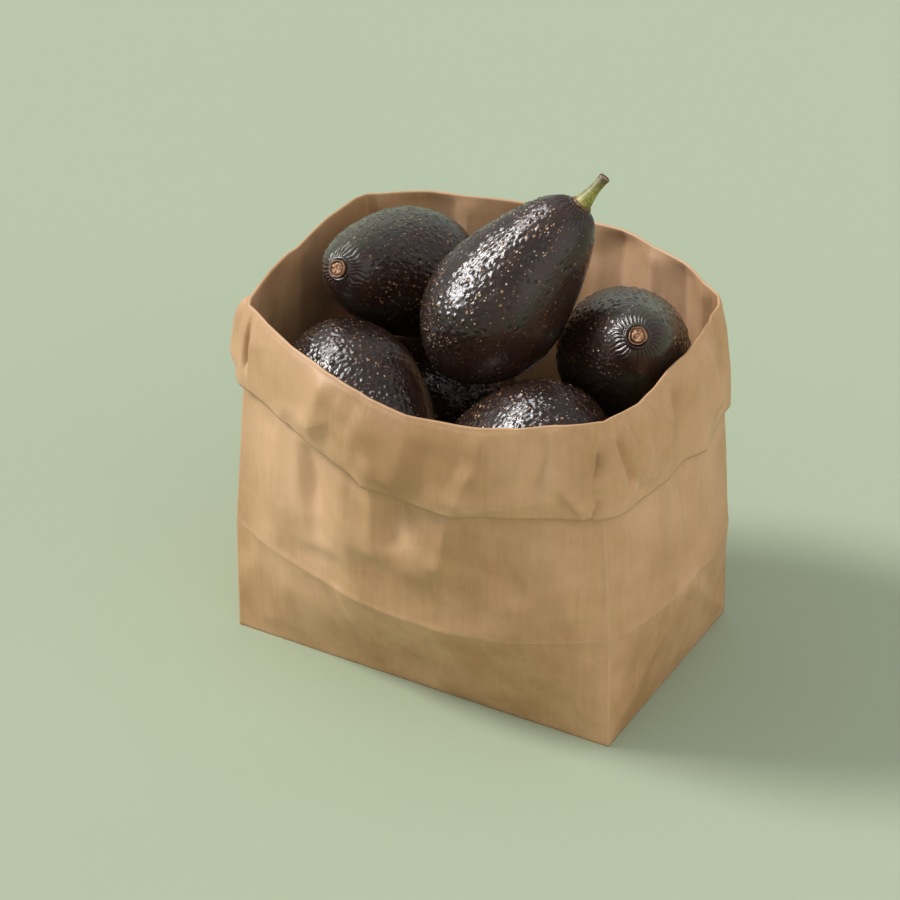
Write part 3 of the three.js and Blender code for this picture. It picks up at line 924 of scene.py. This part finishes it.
# A dent: middle across and up, half size across and up, and depth (below 0 is pressed in).
DENTS = {
    FRONT: [(-22, 92, 13, 17, 2.6), (18, 92, 12, 13, 2.4), (-68, 92, 14, 24, 2.0),
        (-44, 104, 6, 14, -2.2), (8, 112, 9, 10, -2.6), (46, 98, 10, 16, -2.4),
        (70, 84, 13, 22, 1.8), (-50, 30, 22, 16, 1.0), (40, 34, 26, 15, -1.2)],
    RIGHT: [(-32, 100, 14, 20, 0.9), (28, 92, 14, 26, 0.8), (32, 30, 16, 14, -0.9)],
    BACK: [(-20, 92, 24, 22, 1.2), (48, 84, 20, 26, 1.0)],
    LEFT: [(-24, 96, 16, 24, 1.0), (26, 88, 16, 26, 0.9)],
}
# Painted light and shade on the paper: lighter where light falls, darker where it turns away.
# A patch: middle, half size, and how much lighter it is.
LIGHT_AND_SHADE_PATCHES = {
    FRONT: [(-66, 105, 42, 62, 0.75), (6, 146, 34, 24, -1.35), (30, 84, 34, 26, -0.65),
        (-34, 84, 16, 22, 0.5), (50, 24, 66, 32, -0.75)],
    RIGHT: [(4, 108, 64, 44, 0.5), (-34, 10, 46, 28, -0.95)],
    BACK: [(0, 150, 90, 26, 0.6)],
    LEFT: [(0, 90, 60, 60, 0.2)],
}


def soft_patches(height_up, table):
    """The sum of soft spots: each is its amount times exp(-d^2), with d in its half sizes."""
    total = np.zeros(height_up.shape)
    for side, patches in table.items():
        for x, up, half_x, half_up, amount in patches:
            offset = ((across - x) / half_x) ** 2 + ((height_up - up) / half_up) ** 2
            total += (panel == side) * amount * np.exp(-offset)
    return total


def paper_light_and_shade(up):
    """How much lighter the paper is painted, as light and shade, half as strong at the corners."""
    return soft_patches(up, LIGHT_AND_SHADE_PATCHES) * (1 - 0.5 * np.abs(across_share) ** 6)


def fold_tents(height_up, table):
    """The sum of straight folds, each a tent faded past its line's ends, and their scuffs."""
    total = np.zeros(height_up.shape)
    marks = np.zeros(height_up.shape)
    level = np.broadcast_to(across, height_up.shape)
    for side, folds in table.items():
        for start_x, start_up, end_x, end_up, tall, reach in folds:
            line = np.array((end_x - start_x, end_up - start_up), float)
            length = np.linalg.norm(line)
            from_start = np.stack([level - start_x, height_up - start_up], -1)
            along = from_start @ line / length
            beside = np.abs(from_start @ np.array((-line[1], line[0]))) / length
            ends = smooth_step(along, -4, 6) * smooth_step(-along, -length - 4, -length + 6)
            mine = (panel == side) * ends
            total += mine * tall * np.clip(1 - beside / reach, 0, 1)
            scuff = mine * (reach < CRISP_REACH) * np.clip(1 - beside / SCUFF_WIDTH, 0, 1)
            marks = np.maximum(marks, scuff)
    return total, marks


def paper_place(up):
    """Each grid point's place on the flat sheet, far apart between panels, to read noise at."""
    level = np.broadcast_to(across, up.shape)
    return np.stack([level, up, np.broadcast_to(panel * 50.0, up.shape)], -1)


def ridges(place, seed):
    """Sharp creases at random: 1 - 2 |noise|."""
    return 1 - 2 * np.abs(soft_noise(place, seed))


def crumple(up, seed):
    """Random creasing, a wide and a narrow scale of it added."""
    place = paper_place(up)
    return 1.15 * ridges(place / (34, 62, 1), seed) + 0.42 * ridges(place / (15, 24, 1), seed + 1)


# %% [markdown]
# ## One sheet, two faces
# The paper's two faces are the sheet's middle surface moved half a thickness along its normal
# either way, joined round the cut edge of the cuff, so the bag is one closed skin with a true
# thickness. Rows are close together where folds show and wide elsewhere.

# %% Sheet rows
WALL_ROWS = 132
COVERED_ROWS = 16  # of the wall's rows, those behind the cuff
DEEP_ROWS = 92  # and those that the fruit hide on the inside
FOLD_ROWS = 9
CUFF_ROWS = 34
BOTTOM_ROWS = 22
CORNER_FADE = 7.0
CRUMPLE_SEED = 71


def between_corners(values, share):
    """Corner values blended across each panel, share 0 at its start and 1 at its end."""
    corner = np.array(values)
    return corner[panel] * (1 - share) + corner[(panel + 1) % 4] * share


def wall_surface(up):
    """The wall's middle surface at each length of paper, with its creases and dents."""
    plan, outward = wall_outline(up)
    height_up = np.broadcast_to(up[:, None], plan.shape[:2])
    steps = np.diff(plan, axis=0)
    rise = np.sqrt(np.maximum(np.diff(up)[:, None] ** 2 - (steps ** 2).sum(-1), 0))
    height = np.concatenate([np.zeros((1, plan.shape[1])), np.cumsum(rise, axis=0)])
    lift = between_corners(RIM_LIFT, (across_share + 1) / 2)
    lift = lift + BACK_LIFT * (panel == BACK) * (1 - across_share ** 2)
    height = height + lift * smooth_step(height_up, 80, FOLD_HEIGHT)
    tents, marks = fold_tents(height_up, FOLDS)
    from_corner = half_span - np.abs(across)
    calm = smooth_step(from_corner, 0, CORNER_FADE) * smooth_step(height_up, 0, 14)
    dents = soft_patches(height_up, DENTS)
    moved = (tents + dents + crumple(height_up, CRUMPLE_SEED)) * calm
    corner_marks = np.clip(1 - from_corner / 1.0, 0, 1) + 0 * height_up
    marks = np.maximum(marks, corner_marks)
    place = plan + outward * moved[..., None]
    return np.concatenate([place, height[..., None] + PAPER / 2], -1), outward, marks


# %% Cuff
FOLLOW_ROWS = 200  # rows of the wall that the cuff's shape is read from
CUFF_SEED = 91
PUFFS = (3.4, 1.2, 1.5, 2.0)  # front right, back right, back left, front left
PUFF_REACH = 11
CUFF_FOLDS = {
    FRONT: [(-34, 168, -42, 128, 1.8, 9), (-28, 150, -54, 134, 1.3, 7),
        (-60, 140, -66, 126, 1.2, 7), (-4, 140, -10, 120, 1.6, 7), (28, 158, 20, 124, -1.4, 12),
        (50, 150, 40, 128, 1.8, 8), (40, 128, 76, 132, 1.4, 7), (80, 160, 68, 130, -2.0, 9),
        (97, 167, 95, 141, -4.6, 2.6), (85, 138, 96, 122, 2.6, 4), (97, 136, 94, 120, -3.8, 2.4),
        (80, 168, 77, 128, 2.0, 6), (-93, 164, -93, 140, -3.6, 2.6)],
    RIGHT: [(-57, 158, -50, 134, -4.2, 2.4), (-53, 167, -46, 134, 2.8, 4),
        (-45, 140, -42, 124, -3.2, 2.4), (-40, 150, -34, 126, 1.6, 5),
        (-8, 160, -9, 124, -2.8, 5), (-34, 164, -46, 128, 1.6, 8), (-26, 150, -8, 126, 1.4, 8),
        (20, 166, 34, 130, 1.4, 10)],
    BACK: [(-44, 168, -38, 122, 1.4, 10), (30, 168, 24, 122, -1.4, 10)],
    LEFT: [(10, 166, 4, 124, 1.6, 9), (-30, 166, -40, 124, -1.2, 10), (54, 168, 55, 134, 4.4, 5)],
}


def cuff_length():
    """The mouth isn't turned down evenly: a length for each corner, and a small wave round it."""
    angle = (panel + (across_share + 1) / 2) * math.pi / 2
    length = between_corners(CUFF_AT_CORNERS, smooth_step(across_share, -1, 1))
    return length + 0.7 * np.sin(7 * angle + 2.0)


def wall_behind(up):
    """The wall's places at each column's own lengths of paper, blended between fine rows."""
    wall, outward, _ = wall_surface(np.linspace(0, FOLD_HEIGHT, FOLLOW_ROWS))
    last = FOLLOW_ROWS - 1
    index = np.clip(up / FOLD_HEIGHT * last, 0, last - 0.001)
    low = index.astype(int)
    part = (index - low)[..., None]
    column = np.arange(len(panel))[None, :]
    follow = wall[low, column] * (1 - part) + wall[low + 1, column] * part
    return follow, wall[-1], outward[-1]


def cuff_puffs(share):
    """How far paper stands off near each corner: puff * exp(-(d / reach)^2), d from the corner."""
    puffs = []
    for corner, puff in enumerate(PUFFS):
        before = np.where(panel == corner, np.abs(across_share - 1), np.inf)
        after = np.where(panel == (corner + 1) % 4, np.abs(across_share + 1), np.inf)
        beside = np.minimum(before, after) * half_span
        puffs.append(puff * np.exp(-(beside / PUFF_REACH) ** 2) * smooth_step(share, 0, 0.35))
    return puffs


def cuff_surface(rows):
    """Over the fold and down outside: half a circle, then the wall's own shape, standing off it."""
    share = np.linspace(0, 1, rows + 1)[1:, None]
    up = FOLD_HEIGHT - share * cuff_length()
    follow, edge, outward = wall_behind(up)
    direction = np.concatenate([outward, np.zeros((len(panel), 1))], -1)
    middle = 1 - across_share ** 2
    flare = 0.3 + (0.6 + 2.2 * middle) * share ** 1.4
    flare = flare + (0.8 + 2.6 * middle) * np.sin(math.pi * share) ** 0.8
    for puff in cuff_puffs(share):
        flare = flare + puff
    loose = 0.9 * ridges(paper_place(up) / (26, 30, 1), CUFF_SEED)
    loose = loose * smooth_step(share, 0.05, 0.5) * (0.25 + 0.75 * middle)
    tents, marks = fold_tents(up, CUFF_FOLDS)
    off = 2 * FOLD_RADIUS + flare + np.maximum(loose + tents, -flare + 0.1)
    cuff = follow + direction * off[..., None]
    turn = np.linspace(0, math.pi, FOLD_ROWS + 1)[1:]
    rim = edge + direction * (FOLD_RADIUS * (1 - np.cos(turn))[:, None, None])
    rim[..., 2] += FOLD_RADIUS * np.sin(turn)[:, None]
    marks = np.concatenate([np.zeros((FOLD_ROWS, len(panel))), marks])
    return np.concatenate([rim, cuff]), marks


# %% Bottom
FLAP_STEP = 0.4


def bottom_surface(edge, rows):
    """From near the middle out to the bottom edge, flat, with the steps of the folded flaps."""
    share = np.linspace(0.03, 1, rows + 1)[:-1, None, None]
    flat = edge[None, :, :2] * share
    lift = np.zeros(flat.shape[:2])
    x, y = flat[..., 0], flat[..., 1]
    lift += FLAP_STEP * smooth_step(y, -14, -12.8)
    lift += FLAP_STEP * smooth_step(np.abs(x) + 0.5 * np.abs(y + 14), 56, 57.2)
    lift = lift * smooth_step(-share[..., 0], -0.99, -0.93)
    return np.concatenate([flat, (edge[0, 2] + lift)[..., None]], -1)


# %% Build the bag


def face_normals(surface):
    """The unit normal at each grid point, from the differences to its neighbours both ways."""
    along_rows = np.gradient(surface, axis=0)
    around = np.roll(surface, -1, 1) - np.roll(surface, 1, 1)
    normal = np.cross(around, along_rows)
    return normal / np.maximum(np.linalg.norm(normal, axis=-1), 1e-9)[..., None]


def row_order(wall_rows, rows):
    """Which rows each face keeps: fewer where the cuff, the fruit or the floor hide the paper."""
    wall_start, fold_start = BOTTOM_ROWS, BOTTOM_ROWS + wall_rows
    cuff_start, last = fold_start + FOLD_ROWS, rows - 1
    outer = [*range(cuff_start), *range(cuff_start, last, 4), last]
    shown, deep = fold_start - COVERED_ROWS - 1, wall_start + DEEP_ROWS
    inner = [*range(last, shown, -1), *range(shown, deep, -2), *range(deep, wall_start, -8),
             *range(wall_start, 0, -7), 0]
    return outer, inner


def make_bag():
    """The bag's two faces as one closed skin, standing for the CAD bag."""
    close_up = np.linspace(0, CUFF_COVERS_FROM, WALL_ROWS - COVERED_ROWS)
    covered = np.linspace(CUFF_COVERS_FROM, FOLD_HEIGHT, COVERED_ROWS + 1)[1:]
    up = np.concatenate([close_up, covered])
    wall, _, wall_marks = wall_surface(up)
    cuff, cuff_marks = cuff_surface(CUFF_ROWS)
    bottom = bottom_surface(wall[0], BOTTOM_ROWS)
    sheet = np.concatenate([bottom, wall, cuff])
    normal = face_normals(sheet)
    outer, inner = row_order(len(up), len(sheet))
    outside, inside = sheet + normal * PAPER / 2, sheet - normal * PAPER / 2
    rows = np.concatenate([outside[outer], inside[inner]])
    rows[..., 2] = np.maximum(rows[..., 2], 0)
    marks = np.concatenate([np.zeros(bottom.shape[:2]), wall_marks, cuff_marks])
    cuff_up = FOLD_HEIGHT - np.linspace(0, 1, CUFF_ROWS + 1)[1:, None] * cuff_length()
    heights = np.concatenate([np.zeros(BOTTOM_ROWS), up, np.full(FOLD_ROWS, FOLD_HEIGHT)])
    heights = np.broadcast_to(heights[:, None], (len(heights), len(panel)))
    # Painted light and shade at each grid point.
    painted_light_and_shade = paper_light_and_shade(np.concatenate([heights, cuff_up]))
    attributes = {"crease": marks[outer + inner], "painted_light_and_shade": painted_light_and_shade[outer + inner]}
    piece = close_rows("kraft_bag", rows * MM, KRAFT, attributes)
    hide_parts("paper_bag")
    return piece


bag = make_bag()
bag_size = [round(x / MM, 1) for x in bag.dimensions]
print("bag:", len(bag.data.polygons), "faces, size in mm", bag_size)
